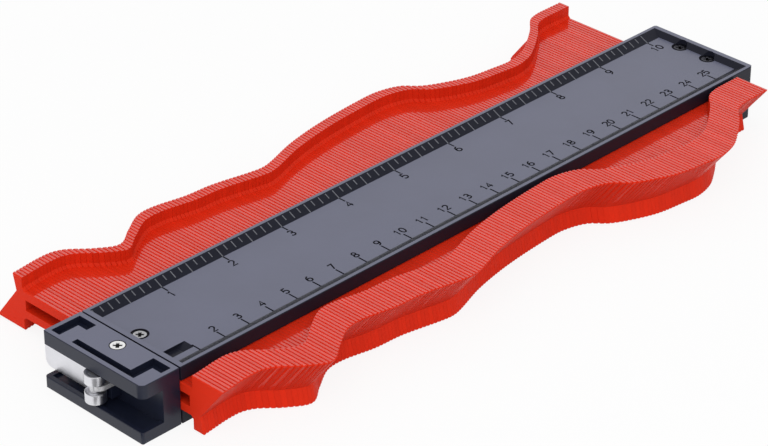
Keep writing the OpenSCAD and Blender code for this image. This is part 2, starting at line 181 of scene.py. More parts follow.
class Finishes(bpy.types.PropertyGroup):
    """Colours of the finishes."""
    plastic: colour("Body plastic", "Walls and recesses of the body", (0.013, 0.014, 0.024))
    housing: colour("Housing plastic", "Walls of the lock housing", (0.012, 0.015, 0.031))
    # painted sheen: the paler colour that the level tops of the same dark plastic get, for the light that
    # they reflect
    slate: colour("Body tops", "Lip, rim and tray floor of the body", (0.118, 0.124, 0.188))
    leaf: colour("Leaf plastic", "Moulded leaves", (0.72, 0.028, 0.007))
    # this dark colour also paints the shadow rings round the screw bores
    ink: colour("Engraving", "Strokes and digits on the floor", (0.008, 0.008, 0.012))
    mark: colour("Wall marks", "Inch marks on the back wall", (0.15, 0.155, 0.18))
    nickel: colour("Lever metal", "Lever and knuckles", (0.80, 0.80, 0.84))
    bright: colour("Bright metal", "Anchor screw", (0.9, 0.9, 0.9))
    zinc: colour("Screw metal", "Near cover screws", (0.55, 0.55, 0.57))
    # painted shade: the far screws are the same zinc, painted dark for the shade and dark reflections at the
    # far wall
    black_zinc: colour("Dark screw metal", "Far cover screws", (0.10, 0.10, 0.12))
    steel: colour("Steel", "Rails, link plate and pin", (0.72, 0.72, 0.74))


class StageSettings(bpy.types.PropertyGroup):
    """Camera, light and bench."""
    azimuth: plain("Azimuth", "Turn of the view from +Y towards +X, in degrees", 45.408)
    elevation: plain("Elevation", "Height of the view, in degrees", 30.597)
    distance: length("Distance", "Distance of the camera from its aim", 1005.4)
    aim: FloatVectorProperty(name="Aim", description="Point on the bench in the middle of the picture",
                             default=(-0.84 * MM, 17.44 * MM, 0), subtype="TRANSLATION")
    lens: plain("Lens", "Focal length in millimetres on a 36 mm sensor", 143.53)
    ambient: plain("Ambient", "Strength of the even light", 0.68)
    lamp: plain("Lamp", "Power of the overhead lamp in watts", 16.0)
    lamp_size: length("Lamp size", "Side of the lamp", 1900)
    lamp_place: FloatVectorProperty(name="Lamp place", description="Middle of the lamp",
                                    default=(-0.95, -0.95, 1.4), subtype="TRANSLATION")
    dim: plain("Zenith", "Share of the light that gloss misses at the zenith", 0.75)
    dim_low: plain("Dim from", "Rise, as a sine, at which the dimming starts", 0.55)
    dim_high: plain("Dim to", "Rise, as a sine, at which the dimming is full", 0.9)
    bench: length("Bench", "Half the bench's side", 3000)
    bench_drop: length("Bench drop", "Depth of the bench below the gauge", 0.05)
    bench_white: plain("Bench white", "Brightness of the bench's surface", 0.97)
    bench_glow: plain("Bench glow", "Share of plain white that the camera sees on the bench", 0.88)
    flag_rise: length("Card's rise", "Height of the dark card over the bench", 0.02)
    flag_glow: plain("Card's glow", "Brightness of the dark card", 0.1)


class GaugeSettings(bpy.types.PropertyGroup):
    """Everything that can be set on the gauge."""
    leaf: PointerProperty(type=LeafSizes)
    body: PointerProperty(type=BodySizes)
    screw: PointerProperty(type=ScrewSizes)
    ruler: PointerProperty(type=RulerSizes)
    finish: PointerProperty(type=Finishes)
    stage: PointerProperty(type=StageSettings)


class Socket:
    """A shader value that takes part in Python sums: each operator adds one Math node."""

    def __init__(self, paint, out):
        self.paint = paint
        self.out = out

    def maths(self, operation, a, b):
        return self.paint.add("ShaderNodeMath", {"operation": operation}, {0: a, 1: b})

    def __add__(self, other):
        return self.maths("ADD", self, other)

    def __radd__(self, other):
        return self.maths("ADD", other, self)

    def __sub__(self, other):
        return self.maths("SUBTRACT", self, other)

    def __rsub__(self, other):
        return self.maths("SUBTRACT", other, self)

    def __mul__(self, other):
        return self.maths("MULTIPLY", self, other)

    def __rmul__(self, other):
        return self.maths("MULTIPLY", other, self)

    def __truediv__(self, other):
        return self.maths("DIVIDE", self, other)


class Paint:
    """One node tree that is written as expressions."""

    def __init__(self, tree):
        self.tree = tree

    def add(self, kind, settings=None, inputs=None, out=0):
        """Adds a node: its settings come first, then the values or links of its sockets."""
        node = self.tree.nodes.new(kind)
        for key, value in (settings or {}).items():
            setattr(node, key, value)
        for key, value in (inputs or {}).items():
            if isinstance(value, Socket):
                self.tree.links.new(value.out, node.inputs[key])
            else:
                node.inputs[key].default_value = value
        return None if out is None else Socket(self, node.outputs[out])

    def coords(self):
        return self.add("ShaderNodeTexCoord", out="Object")

    def part(self, vector, axis):
        return self.add("ShaderNodeSeparateXYZ", inputs={0: vector}, out=axis)

    def noise(self, vector, scale, detail=2.0, stretch=(1, 1, 1)):
        """Cloud noise from 0 to 1: scale is in cells a metre, stretch multiplies it by axis."""
        placed = self.add("ShaderNodeMapping", inputs={0: vector, "Scale": stretch})
        return self.add("ShaderNodeTexNoise", inputs={"Vector": placed, "Scale": scale, "Detail": detail})

    def step(self, value, low, high):
        """Smooth step from 0 at low to 1 at high."""
        return self.add("ShaderNodeMapRange", {"interpolation_type": "SMOOTHSTEP"},
                        {0: value, 1: low, 2: high})

    def mix(self, factor, a, b):
        """Colour a at factor 0 and b at factor 1."""
        return self.add("ShaderNodeMix", {"data_type": "RGBA"}, {0: factor, 6: a, 7: b}, out=2)

    def shade(self, tint, value):
        """A colour times a value."""
        return self.add("ShaderNodeVectorMath", {"operation": "SCALE"}, {0: tint, "Scale": value})

    def bump(self, height, depth, strength=1.0):
        return self.add("ShaderNodeBump", inputs={"Strength": strength, "Distance": depth, "Height": height})


def finish(name, fixed, make):
    """A material: fixed holds the shader's even values, make(paint) gives what varies."""
    material = bpy.data.materials.new(name)
    material.use_nodes = True
    shader = material.node_tree.nodes["Principled BSDF"]
    for key, value in fixed.items():
        shader.inputs[key].default_value = value
    paint = Paint(material.node_tree)
    for key, value in make(paint).items():
        paint.tree.links.new(value.out, shader.inputs[key])
    return material


def rgba(tint):
    return (*tint, 1.0)


def body_plastic(name, colours, tray_floor):
    """Dark moulded plastic: dull walls and a glossier housing; the level faces of the lip, rim and tray floor
    are finely grained and painted paler than the walls, a painted sheen for the light that they catch from
    above."""
    def make(paint):
        at = paint.coords()
        height = paint.part(at, 2)
        normal = paint.add("ShaderNodeNewGeometry", out="Normal")
        level = paint.step(paint.part(normal, 2), 0.93, 0.99)
        ease, top_low, floor_low = 0.2 * MM, COVER_TOP.z - 0.5 * MM, tray_floor - 0.4 * MM
        top = paint.step(height, top_low, top_low + ease)
        floor = paint.step(height, floor_low, floor_low + ease)
        beside = paint.step(paint.part(at, 0), SEAM_X, SEAM_X + ease / 2)
        # painted sheen: level faces at the lip's top, and on the tray floor beside the housing, are painted
        # paler than the walls
        painted_sheen = level * (top + (1.0 - top) * floor * beside)
        grain = paint.noise(at, 5200, 3.0)
        cloud = paint.noise(at, 55, 4.0)
        walls = paint.mix(beside, rgba(colours.housing), rgba(colours.plastic))
        tint = paint.mix(painted_sheen, walls, rgba(colours.slate))
        return {
            "Base Color": paint.shade(tint, 0.86 + 0.2 * cloud + 0.08 * grain),
            "Roughness": 0.3 + 0.1 * painted_sheen + 0.08 * cloud,
            "Coat Weight": 0.6 * painted_sheen + 0.32 * (1.0 - painted_sheen) * (1.0 - beside),
            "Normal": paint.bump(grain, 0.00002, 0.35),
        }
    return finish(name, {"IOR": 1.25, "Coat Roughness": 0.25}, make)


def leaf_plastic(tint, leaf):
    """Bright moulded plastic, glossier on its level faces and here and there on the undercut ones: each leaf
    has its own slight tone and faint flow lines along it, and its undercut faces are painted darker, a
    painted shade under the heads."""
    def make(paint):
        at = paint.coords()
        normal = paint.add("ShaderNodeNewGeometry", out="Normal")
        level = paint.step(paint.part(normal, 2), 0.9, 0.99)
        under = paint.step(0.0 - paint.part(normal, 2), 0.2, 0.4)
        number = paint.add("ShaderNodeMath", {"operation": "FLOOR"},
                           {0: (paint.part(at, 0) - (STACK_X - leaf.gap / 2)) / leaf.pitch})
        own = paint.add("ShaderNodeTexWhiteNoise", {"noise_dimensions": "1D"}, {"W": number})
        flow = paint.noise(at, 900, 3.0, stretch=(1, 0.08, 1))
        grain = paint.noise(at, 4200, 2.0)
        # painted shade: faces that look downwards are painted a fifth darker
        tone = (0.9 + 0.1 * own + 0.1 * flow) * (1.0 - 0.2 * under)
        return {
            "Base Color": paint.shade(tuple(tint), tone),
            "Roughness": 0.5 - 0.24 * level + 0.12 * flow + 0.06 * own,
            "Coat Weight": level * (0.8 + 0.2 * own) + 0.3 * under * paint.step(own, 0.6, 1.0),
            "Normal": paint.bump(grain, 0.00002, 0.25),
        }
    return finish("leaf_plastic", {"IOR": 1.2, "Coat Roughness": 0.1, "Coat IOR": 1.65}, make)


def engraving(name, tint):
    """Dull dark floor of an engraved stroke; the same finish paints the shadow rings round the bores."""
    def make(paint):
        grain = paint.noise(paint.coords(), 6000)
        return {"Base Color": paint.shade(tuple(tint), 0.7 + 0.6 * grain), "Roughness": 0.6 + 0.2 * grain}
    return finish(name, {"Specular IOR Level": 0.05}, make)


def wall_mark(tint):
    """Worn plastic of the marks on the sloping walls."""
    def make(paint):
        wear = paint.noise(paint.coords(), 1500, 3.0)
        return {"Base Color": paint.shade(tuple(tint), 0.5 + 0.9 * wear), "Roughness": 0.35 + 0.2 * wear}
    return finish("wall_mark", {}, make)


def metal(name, tint, rough, stretch, far_shade_tint=None, metallic=1.0):
    """Metal with fine drawn lines and cross recesses painted dark, a painted shade: stretch says along which
    axis the lines run, and the far half of the body may have its own darker tint, a painted shade on the far
    screws."""
    def make(paint):
        at = paint.coords()
        lines = paint.noise(at, 6000, 3.0, stretch)
        cloud = paint.noise(at, 260, 3.0)
        sunk = paint.step(paint.add("ShaderNodeAttribute", {"attribute_name": "recess"}, out="Fac"), 0.1, 0.5)
        base = tuple(tint)
        # painted shade: points beyond the body's middle take the darker far tint
        if far_shade_tint:
            base = paint.mix(paint.step(paint.part(at, 0), 0.0, MM), rgba(tint), rgba(far_shade_tint))
        return {
            # painted shade: the cross recesses are painted almost black, for the shade inside them
            "Base Color": paint.shade(base, (0.88 + 0.16 * cloud) * (1.0 - 0.94 * sunk)),
            "Roughness": rough + 0.1 * lines + 0.08 * cloud + 0.3 * sunk,
            "Normal": paint.bump(lines, 0.000006, 0.4),
        }
    return finish(name, {"Metallic": metallic}, make)


def make_piece(name, points, faces, material, body, slot, smooth=None):
    """A mesh piece at the origin that rides on a body; smooth is the angle over which edges stay sharp."""
    mesh = bpy.data.meshes.new(name)
    mesh.from_pydata(points, [], faces)
    if mesh.validate():
        raise RuntimeError(f"{name} has faulty faces")
    return place(name, mesh, material, body, smooth)


def place(name, mesh, material, body, smooth=None, even=False):
    """An object for a finished mesh: its material, shading and body; even keeps large faces flat."""
    mesh.materials.clear()
    mesh.materials.append(material)
    mesh.shade_flat()
    if smooth:
        mesh.shade_smooth()
        mesh.set_sharp_from_angle(angle=smooth)
    piece = bpy.data.objects.new(name, mesh)
    bpy.context.scene.collection.objects.link(piece)
    if even:
        piece.modifiers.new("flat_faces", "WEIGHTED_NORMAL").keep_sharp = True
    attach(piece, body)
    return piece


def joined(shapes):
    """Several (points, faces) as one: each one's faces count on from the points before it."""
    points = np.concatenate([p for p, _ in shapes])
    starts = np.cumsum([0] + [len(p) for p, _ in shapes])
    faces = [[int(start) + i for i in face] for start, (_, fs) in zip(starts, shapes) for face in fs]
    return points, faces


def grid_faces(rows, columns):
    """Quads of a grid of rows of points whose last column meets the first."""
    row, column = np.mgrid[0:rows - 1, 0:columns]
    after = (column + 1) % columns
    return np.stack([row * columns + column, row * columns + after,
                     (row + 1) * columns + after, (row + 1) * columns + column], -1).reshape(-1, 4).tolist()


def set_back(points, reach, distance):
    """Moves the near end of a shape along the body, as far in as reach goes."""
    near = points[:, 0] < points[:, 0].min() + reach
    return points + np.outer(near, (distance, 0, 0))


def rerounded(points, side, old, new, height, rim):
    """Turns a near upright corner of radius old into one of radius new, below a height and as deep in as the
    rim goes: what lies at the radius r and the angle a about the old round's axis goes to r + new - old
    about the new one's."""
    corner = np.array([points[:, 0].min(), side * abs(points[:, 1]).max()])
    inwards = np.array([1, -side])
    arm = points[:, :2] - (corner + old * inwards)
    radius = np.linalg.norm(arm, axis=1)
    moved = (arm * inwards < TINY).all(1) & (radius > old - rim) & (points[:, 2] < height)
    turn = arm / np.maximum(radius, TINY)[:, None]
    placed = corner + new * inwards + turn * (radius + new - old)[:, None]
    return np.column_stack([np.where(moved[:, None], placed, points[:, :2]), points[:, 2]])


def edged_copy(node, name, width, angle, change=None):
    """A merged copy of a CAD node whose sharp edges are broken by a round of the given width; change may
    move its points first."""
    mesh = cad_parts[node].data.copy()
    if change:
        mesh.vertices.foreach_set("co", change(node_points(node)).ravel())
    work = bmesh.new()
    work.from_mesh(mesh)
    bmesh.ops.remove_doubles(work, verts=work.verts, dist=MERGE)
    bmesh.ops.dissolve_limit(work, angle_limit=FLAT, verts=work.verts, edges=work.edges)
    sharp = [e for e in work.edges if e.is_manifold and e.calc_face_angle() > angle]
    bmesh.ops.bevel(work, geom=sharp, offset=width, segments=2, profile=0.5, affect="EDGES",
                    clamp_overlap=True)
    bmesh.ops.triangulate(work, faces=[f for f in work.faces if len(f.verts) > 4])
    work.to_mesh(mesh)
    work.free()
    mesh.name = name
    return mesh


class GAUGE_OT_leaves(bpy.types.Operator):
    """Makes the leaves, group by group, with the solids' outline, broken edges and ends that lean"""
    bl_idname = "gauge.leaves"
    bl_label = "Leaves"

    def outline(self, leaf):
        """Y-Z outline about the leaf's middle, anticlockwise: one head, and the same turned half round."""
        hs, hh, wh = leaf.span / 2, leaf.head / 2, leaf.web / 2
        head = np.array([
            (hs - leaf.bevel, -wh), (hs, -wh - leaf.bevel), (hs, -hh), (hs + leaf.tip, -hh),
            (hs + leaf.tip, leaf.tip_height - hh), (hs + leaf.neck, leaf.neck_height),
            (hs + leaf.stub, hh), (hs, hh), (hs, wh + leaf.bevel), (hs - leaf.bevel, wh),
        ])
        return np.concatenate([head, -head])

    def inset(self, points):
        """Way of each corner when the sides move inwards by one: the sum of its two sides' normals n1 and
        n2, over 1 + n1.n2, which keeps the new sides parallel to the old."""
        side = np.roll(points, -1, 0) - points
        normal = np.column_stack([-side[:, 1], side[:, 0]]) / np.linalg.norm(side, axis=1)[:, None]
        before = np.roll(normal, 1, 0)
        return (before + normal) / (1 + (before * normal).sum(1))[:, None]

    def leaf(self, leaf):
        """One leaf from x = 0: rings of the outline, inset at the two flat faces and full between them.
        Each flat face is parted from the neck of one head through the slot to the neck of the other."""
        thick = leaf.pitch - leaf.gap
        outer = self.outline(leaf)
        inner = outer + self.inset(outer) * (leaf.side_edge, leaf.edge)
        n = len(outer)
        sy, sz = leaf.span / 2 - leaf.slot_margin, leaf.slot_height / 2
        slot = np.array([(sy, sz), (-sy, sz), (-sy, -sz), (sy, -sz)])
        rings = [(0, inner), (leaf.edge, outer), (thick - leaf.edge, outer), (thick, inner),
                 (0, slot), (thick, slot)]
        points = np.concatenate([np.column_stack([np.full(len(r), x), r]) for x, r in rings])
        neck = 5
        around = np.arange(neck, neck + n + 1) % n
        halves = [(around[:n // 2 + 1], [2, 1, 0]), (around[n // 2:], [0, 3, 2])]
        near_slot, far_slot = 4 * n, 4 * n + len(slot)
        far = [[int(3 * n + i) for i in edge] + [far_slot + k for k in cut] for edge, cut in halves]
        near = [([int(i) for i in edge] + [near_slot + k for k in cut])[::-1] for edge, cut in halves]
        walls = [[near_slot + i for i in quad[::-1]] for quad in grid_faces(2, len(slot))]
        return points, grid_faces(4, n) + far + near + walls

    def lean(self, points, leaf):
        """How far each point moves across the body for a contour of slope one: with its distance from the
        leaf's middle, so that the stubs follow the contour. The tips' edges and the heads' inner faces lean
        less and show steps. The inner faces also go half a leaf outwards, so that none comes nearer to the
        covers than the solid does, and the slot stays."""
        thick = leaf.pitch - leaf.gap
        reach = abs(points[:, 1])
        slot = reach < leaf.span / 2 - (leaf.slot_margin + leaf.bevel) / 2
        inner = ~slot & (reach < leaf.span / 2 + leaf.neck / 2)
        tip = reach > leaf.span / 2 + (leaf.stub + leaf.tip) / 2
        share = np.select([slot, inner, tip], [0, leaf.inner_rake, leaf.tip_rake], 1)
        return share * (points[:, 0] - thick / 2), share * inner * np.sign(points[:, 1]) * thick / 2

    def pushes(self, leaf):
        """Place of each leaf across the body, a row for each group: the middle of its solid's span."""
        rows = []
        for node in LEAF_NODES:
            solid = node_points(node)
            number = ((solid[:, 0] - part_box(node)[0].x + leaf.gap / 2) / leaf.pitch).astype(int)
            spans = [solid[number == k, 1] for k in range(leaf.count)]
            rows.append([(span.min() + span.max()) / 2 for span in spans])
        return np.array(rows)

    def execute(self, context):
        leaf = context.scene.gauge.leaf
        red = leaf_plastic(context.scene.gauge.finish.leaf, leaf)
        points, faces = self.leaf(leaf)
        push = self.pushes(leaf)
        slope_rows = np.gradient(push.ravel(), leaf.pitch).reshape(push.shape)
        lean, away = self.lean(points, leaf)
        for node, places, slopes in zip(LEAF_NODES, push, slope_rows):
            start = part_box(node)[0].x + leaf.pitch * np.arange(leaf.count)
            shapes = []
            for x, y, slope in zip(start, places, slopes):
                shift = np.broadcast_to((x, y, leaf.middle), points.shape).copy()
                shift[:, 1] += slope * lean + abs(slope) * away
                shapes.append((points + shift, faces))
            piece = make_piece("leaf_group_" + node[-2:], *joined(shapes), red, node, "leaf_plastic")
            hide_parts(node)
        return {"FINISHED"}


class GAUGE_OT_body(bpy.types.Operator):
    """Makes the two covers, the lock housing and the end block from the solids, with softened edges"""
    bl_idname = "gauge.body"
    bl_label = "Body"

    def execute(self, context):
        gauge, body = context.scene.gauge, context.scene.gauge.body
        black = body_plastic("body_plastic", gauge.finish, COVER_TOP.z - gauge.ruler.depth)

        def cover(points):
            return set_back(points, FACE_SLACK, body.seam)

        def housing(points):
            wall = abs(points[:, 0] - points[:, 0].min() - body.trench) < WALL_SLACK
            trench = wall & (points[:, 2] > COVER_TOP.z / 2)
            points = points + np.outer(trench, (body.trench_more, 0, 0))
            points = rerounded(points, -1, body.solid_front, body.base_front, body.base, body.base_rim)
            return rerounded(points, 1, body.solid_back, body.base_back, body.base, body.base_rim)

        changes = {"top_cover": cover, "bottom_cover": cover, "lock_housing": housing, "end_block": None}
        for node, change in changes.items():
            mesh = edged_copy(node, node + "_shell", body.edge, BREAK, change)
            piece = place(node + "_shell", mesh, black, "body", SMOOTH, True)
            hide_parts(node)
        return {"FINISHED"}


class GAUGE_OT_lock(bpy.types.Operator):
    """Makes the lever with its knuckles and the link, and finishes the pin, pressure plate and rails"""
    bl_idname = "gauge.lock"
    bl_label = "Lock"

    def execute(self, context):
        colours, body = context.scene.gauge.finish, context.scene.gauge.body
        nickel = metal("lever_nickel", colours.nickel, 0.24, DRAWN_Y)
        steel = metal("drawn_steel", colours.steel, 0.3, DRAWN_X)
        plate = body_plastic("plate_plastic", colours, COVER_TOP.z)
        blade = edged_copy("cam_lever", "lever_blade", body.lever_edge, SMOOTH)
        lever = place("lever_blade", blade, nickel, "lever", SMOOTH, True)
        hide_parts("cam_lever")
        bar = edged_copy("link_plate", "link_bar", body.link_edge, SMOOTH,
                         lambda points: set_back(points, body.link_reach, body.link_back))
        dull = metal("link_steel", colours.steel, 0.35, DRAWN_X, metallic=0.6)
        link = place("link_bar", bar, dull, "body", SMOOTH, True)
        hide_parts("link_plate")
        finishes = {"pivot_pin": steel, "front_rail": steel, "back_rail": steel, "pressure_plate": plate}
        for node, material in finishes.items():
            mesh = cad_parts[node].data
            mesh.materials.clear()
            mesh.materials.append(material)
        return {"FINISHED"}


class GAUGE_OT_screws(bpy.types.Operator):
    """Makes the cover screws and the anchor screw, with cross recesses, and painted shadow rings round the
    bores
    """
    bl_idname = "gauge.screws"
    bl_label = "Screws"

    def screw(self, sizes, centre, top, head_r, head_h, shank_r, low, flip, cone):
        """A turned outline carried round the axis; its top sinks by a cross recess whose depth is
        the deeper of two bars: full within half a bar's width, with sloping walls and run-outs.
        Gives the points, the faces and how far each point is sunk, as a share of the recess."""
        turns, rings, core = 64, 26, 0.02 * MM
        angle = np.linspace(0, 2 * math.pi, turns, endpoint=False)
        edge = sizes.edge
        flat = np.linspace(core, head_r - edge, rings)
        curve = np.linspace(0, math.pi / 2, 4)[1:]
        foot = shank_r if cone else head_r
        radius = np.concatenate([flat, head_r - edge + edge * np.sin(curve), [foot, shank_r, shank_r]])
        drop = np.concatenate([np.zeros(len(flat)), edge * (1 - np.cos(curve)), [head_h, head_h, top - low]])
        along_bar = radius[:, None] * abs(np.cos(angle - math.pi / 4))
        beside_bar = radius[:, None] * abs(np.sin(angle - math.pi / 4))
        across, along = np.minimum(along_bar, beside_bar), np.maximum(along_bar, beside_bar)
        walls = sizes.wall_slope * (sizes.bar * head_r + sizes.bar_wall - across)
        ends = sizes.end_slope * (sizes.reach * head_r - along)
        recess = np.clip(np.minimum(walls, ends), 0, sizes.recess)
        recess[len(flat):] = 0
        points = np.stack([centre[0] + radius[:, None] * np.cos(angle),
                           centre[1] + radius[:, None] * np.sin(angle),
                           top - drop[:, None] - recess], -1).reshape(-1, 3)
        last = (len(radius) - 1) * turns
        faces = [quad[::-1] for quad in grid_faces(len(radius), turns)]
        faces += [list(range(turns)), list(range(last + turns - 1, last - 1, -1))]
        if flip is not None:
            points[:, 2] = flip - points[:, 2]
            faces = [face[::-1] for face in faces]
        return points, faces, recess.ravel() / sizes.recess

    def sink(self, piece, shares):
        """Keeps how far each point is sunk, for the painted shade that darkens the cross recess."""
        layer = piece.data.attributes.new("recess", "FLOAT", "POINT")
        layer.data.foreach_set("value", np.concatenate(shares))

    def ring(self, centre, inner, outer, height):
        """A flat ring round an axis."""
        turns = 48
        angle = np.linspace(0, 2 * math.pi, turns, endpoint=False)
        radius = np.array([[outer], [inner]])
        points = np.stack([centre[0] + radius * np.cos(angle), centre[1] + radius * np.sin(angle),
                           np.full((2, turns), height)], -1)
        return points.reshape(-1, 3), grid_faces(2, turns)

    def centres(self, node):
        """Middles and points of a node's screws: the near one, and the two at the far end."""
        points = node_points(node)
        far = points[:, 0] > 0
        parts = [~far, far & (points[:, 1] > 0), far & (points[:, 1] < 0)]
        return [(points[p].min(0) + points[p].max(0)) / 2 for p in parts], [points[p] for p in parts]

    def execute(self, context):
        gauge = context.scene.gauge
        colours, sizes = gauge.finish, gauge.screw
        # the far screws get the painted shade tint
        zinc = metal("screw_zinc", colours.zinc, 0.3, UNDRAWN, colours.black_zinc)
        bright = metal("anchor_chrome", colours.bright, 0.12, UNDRAWN)
        height = COVER_TOP.z
        floor = height - gauge.ruler.depth + sizes.ring_lift
        rings = []
        for node, flip in (("top_screws", None), ("bottom_screws", height)):
            shapes = []
            for centre, points in zip(*self.centres(node)):
                low, top = points[:, 2].min(), points[:, 2].max()
                if flip:
                    low, top = flip - top, flip - low
                head_r = (points[:, 0].max() - points[:, 0].min()) / 2
                if not flip:
                    head_r += sizes.wider
                    # painted shadow: a flat dark ring on the tray floor round each top screw's bore
                    rings.append(self.ring(centre, head_r + sizes.ring_gap, head_r + sizes.ring_reach, floor))
                shapes.append(self.screw(sizes, centre, top, head_r, sizes.head, sizes.shank, low, flip,
                                         False))
            piece = make_piece(node + "_cross", *joined([s[:2] for s in shapes]), zinc, "body", "screw_metal",
                               SCREW_SMOOTH)
            self.sink(piece, [s[2] for s in shapes])
            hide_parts(node)
        low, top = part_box("anchor_screw")
        middle, head_r = (low + top) / 2, (top.x - low.x) / 2
        *shape, share = self.screw(sizes, middle, top.z, head_r, sizes.anchor_head, sizes.anchor_shank, low.z,
                                   None, True)
        piece = make_piece("anchor_screw_cross", *shape, bright, "body", "bright_metal", SCREW_SMOOTH)
        self.sink(piece, [share])
        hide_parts("anchor_screw")
        # painted shadow: a flat dark ring on the lip round the anchor screw's head
        rings.append(self.ring(middle, head_r, head_r + sizes.anchor_ring, height + sizes.ring_lift))
        shadow = engraving("bore_shadow", colours.ink)
        make_piece("bore_shadows", *joined(rings), shadow, "body", "cover_plastic")
        return {"FINISHED"}


def arc(cx, cy, rx, ry, start, stop, steps=10):
    """Points along an ellipse between two angles in degrees."""
    angle = np.radians(np.linspace(start, stop, steps))
    return np.column_stack([cx + rx * np.cos(angle), cy + ry * np.sin(angle)])


def digit_strokes(digit):
    """Single strokes of a digit in a box 0.6 wide and 1 high."""
    strokes = {
        "0": [arc(0.3, 0.5, 0.3, 0.5, 0, 360, 18)],
        "1": [np.array([(0.1, 0.78), (0.32, 1), (0.32, 0)])],
        "2": [np.concatenate([arc(0.3, 0.72, 0.28, 0.28, 165, -35), [(0, 0), (0.6, 0)]])],
        "3": [np.concatenate([arc(0.28, 0.75, 0.26, 0.25, 150, -90), arc(0.28, 0.27, 0.3, 0.27, 90, -150)])],
        "4": [np.array([(0.46, 0), (0.46, 1), (0, 0.3), (0.62, 0.3)])],
        "5": [np.concatenate([[(0.54, 1), (0.1, 1), (0.04, 0.54)], arc(0.28, 0.31, 0.31, 0.31, 125, -150)])],
        "6": [np.concatenate([[(0.46, 1)], arc(0.36, 0.34, 0.36, 0.6, 120, 180, 6),
                              arc(0.3, 0.3, 0.3, 0.3, 180, 540, 16)])],
        "7": [np.array([(0, 1), (0.58, 1), (0.2, 0)])],
        "8": [arc(0.3, 0.75, 0.24, 0.25, -90, 270, 16), arc(0.3, 0.25, 0.3, 0.25, 90, 450, 16)],
        "9": [np.concatenate([[(0.14, 0)], arc(0.24, 0.66, 0.36, 0.6, -60, 0, 6),
                              arc(0.3, 0.7, 0.3, 0.3, 0, 360, 16)])],
    }
    return strokes[digit]


def ribbon(path, width, thick, across=(0, 0, 1)):
    """A flat bar along a path: each cross-section is a rectangle, width wide and thick high, whose sides
    at a bend stand on the line that halves it."""
    path = np.asarray(path, float)
    up = np.asarray(across, float)
    step = np.diff(path, axis=0)
    step /= np.linalg.norm(step, axis=1)[:, None]
    side = np.cross(up, step)
    before = np.concatenate([side[:1], side])
    after = np.concatenate([side, side[-1:]])
    mitre = (before + after) / np.maximum(1 + (before * after).sum(1), 0.5)[:, None]
    left, right = path + mitre * width / 2, path - mitre * width / 2
    rows = np.stack([right, left, left + up * thick, right + up * thick], 1)
    points = rows.reshape(-1, 3)
    faces = [quad[::-1] for quad in grid_faces(len(path), 4)]
    last = 4 * (len(path) - 1)
    return points, faces + [[0, 1, 2, 3], [last + 3, last + 2, last + 1, last]]


class GAUGE_OT_ruler(bpy.types.Operator):
    """Makes the ruler's strokes and digits on the tray's floor and the marks on its sloping walls"""
    bl_idname = "gauge.ruler"
    bl_label = "Ruler"

    def number(self, value, centre, height, ruler, floor):
        """Strokes of a number about a centre, read from the front."""
        text = str(value)
        step = (DIGIT_WIDTH + DIGIT_SPACE) * height
        start = centre[0] - (len(text) * step - DIGIT_SPACE * height) / 2
        shapes = []
        for place_number, digit in enumerate(text):
            for stroke in digit_strokes(digit):
                flat = stroke * height + (start + place_number * step, centre[1] - height / 2)
                path = np.column_stack([flat, np.full(len(flat), floor)])
                shapes.append(ribbon(path, ruler.stroke, ruler.inset))
        return shapes

    def wall_marks(self, ruler, count, pitch, reach, side):
        """Ribs across a sloping wall, one every pitch; reach(number) gives how far down each runs."""
        rim = side * (COVER_TOP.y - ruler.rim)
        slope = np.array([0, -side * ruler.bevel, -ruler.depth])
        up = np.cross(slope, (1, 0, 0)) * side
        up /= np.linalg.norm(up)
        up *= np.sign(up[2])
        shapes = []
        for number in range(count + 1):
            top = np.array([ruler.zero + number * pitch, rim, COVER_TOP.z])
            path = [top + slope * ruler.rib_start, top + slope * reach(number)]
            shapes.append(ribbon(path, ruler.rib, ruler.rib_height, up))
        return shapes

    def execute(self, context):
        gauge = context.scene.gauge
        ruler = gauge.ruler
        floor = COVER_TOP.z - ruler.depth
        edge = COVER_TOP.y - ruler.rim - ruler.bevel
        ink = engraving("engraving", gauge.finish.ink)
        mark = wall_mark(gauge.finish.mark)
        fine = body_plastic("fine_mark", gauge.finish, floor)
        shapes = []
        for n in range(1, ruler.inches + 1):
            x = ruler.zero + n * INCH
            end = edge - ruler.inch_tick
            shapes.append(ribbon([(x, edge, floor), (x, end, floor)], ruler.stroke, ruler.inset))
            centre = (x - ruler.digit_shift, end - ruler.digit_gap - ruler.inch_digit / 2)
            shapes += self.number(n, centre, ruler.inch_digit, ruler, floor)
        make_piece("inch_scale", *joined(shapes), ink, "body", "cover_plastic")
        shapes = []
        for n in range(1, ruler.centimetres + 1):
            x = ruler.zero + n * 10 * MM
            end = -edge + ruler.centimetre_tick
            shapes.append(ribbon([(x, -edge, floor), (x, end, floor)], ruler.stroke, ruler.inset))
            centre = (x + ruler.digit_shift, end + ruler.digit_gap + ruler.centimetre_digit / 2)
            if n > 1:
                shapes += self.number(n, centre, ruler.centimetre_digit, ruler, floor)
        make_piece("centimetre_scale", *joined(shapes), ink, "body", "cover_plastic")
        eighths = self.wall_marks(ruler, 8 * ruler.inches, INCH / 8, self.eighth_reach, 1)
        millimetres = self.wall_marks(ruler, 10 * ruler.centimetres, MM, self.millimetre_reach, -1)
        make_piece("eighth_marks", *joined(eighths), mark, "body", "cover_plastic")
        make_piece("millimetre_marks", *joined(millimetres), fine, "body", "cover_plastic")
        return {"FINISHED"}

    def eighth_reach(self, number):
        """Share of the wall down to which an eighth-inch mark runs: all of it at the halves."""
        return 1.0 if number % 4 == 0 else 0.78 if number % 2 == 0 else 0.62

    def millimetre_reach(self, number):
        """Share of the wall down to which a millimetre mark runs: all of it at the centimetres."""
        return 1.0 if number % 10 == 0 else 0.8 if number % 5 == 0 else 0.6


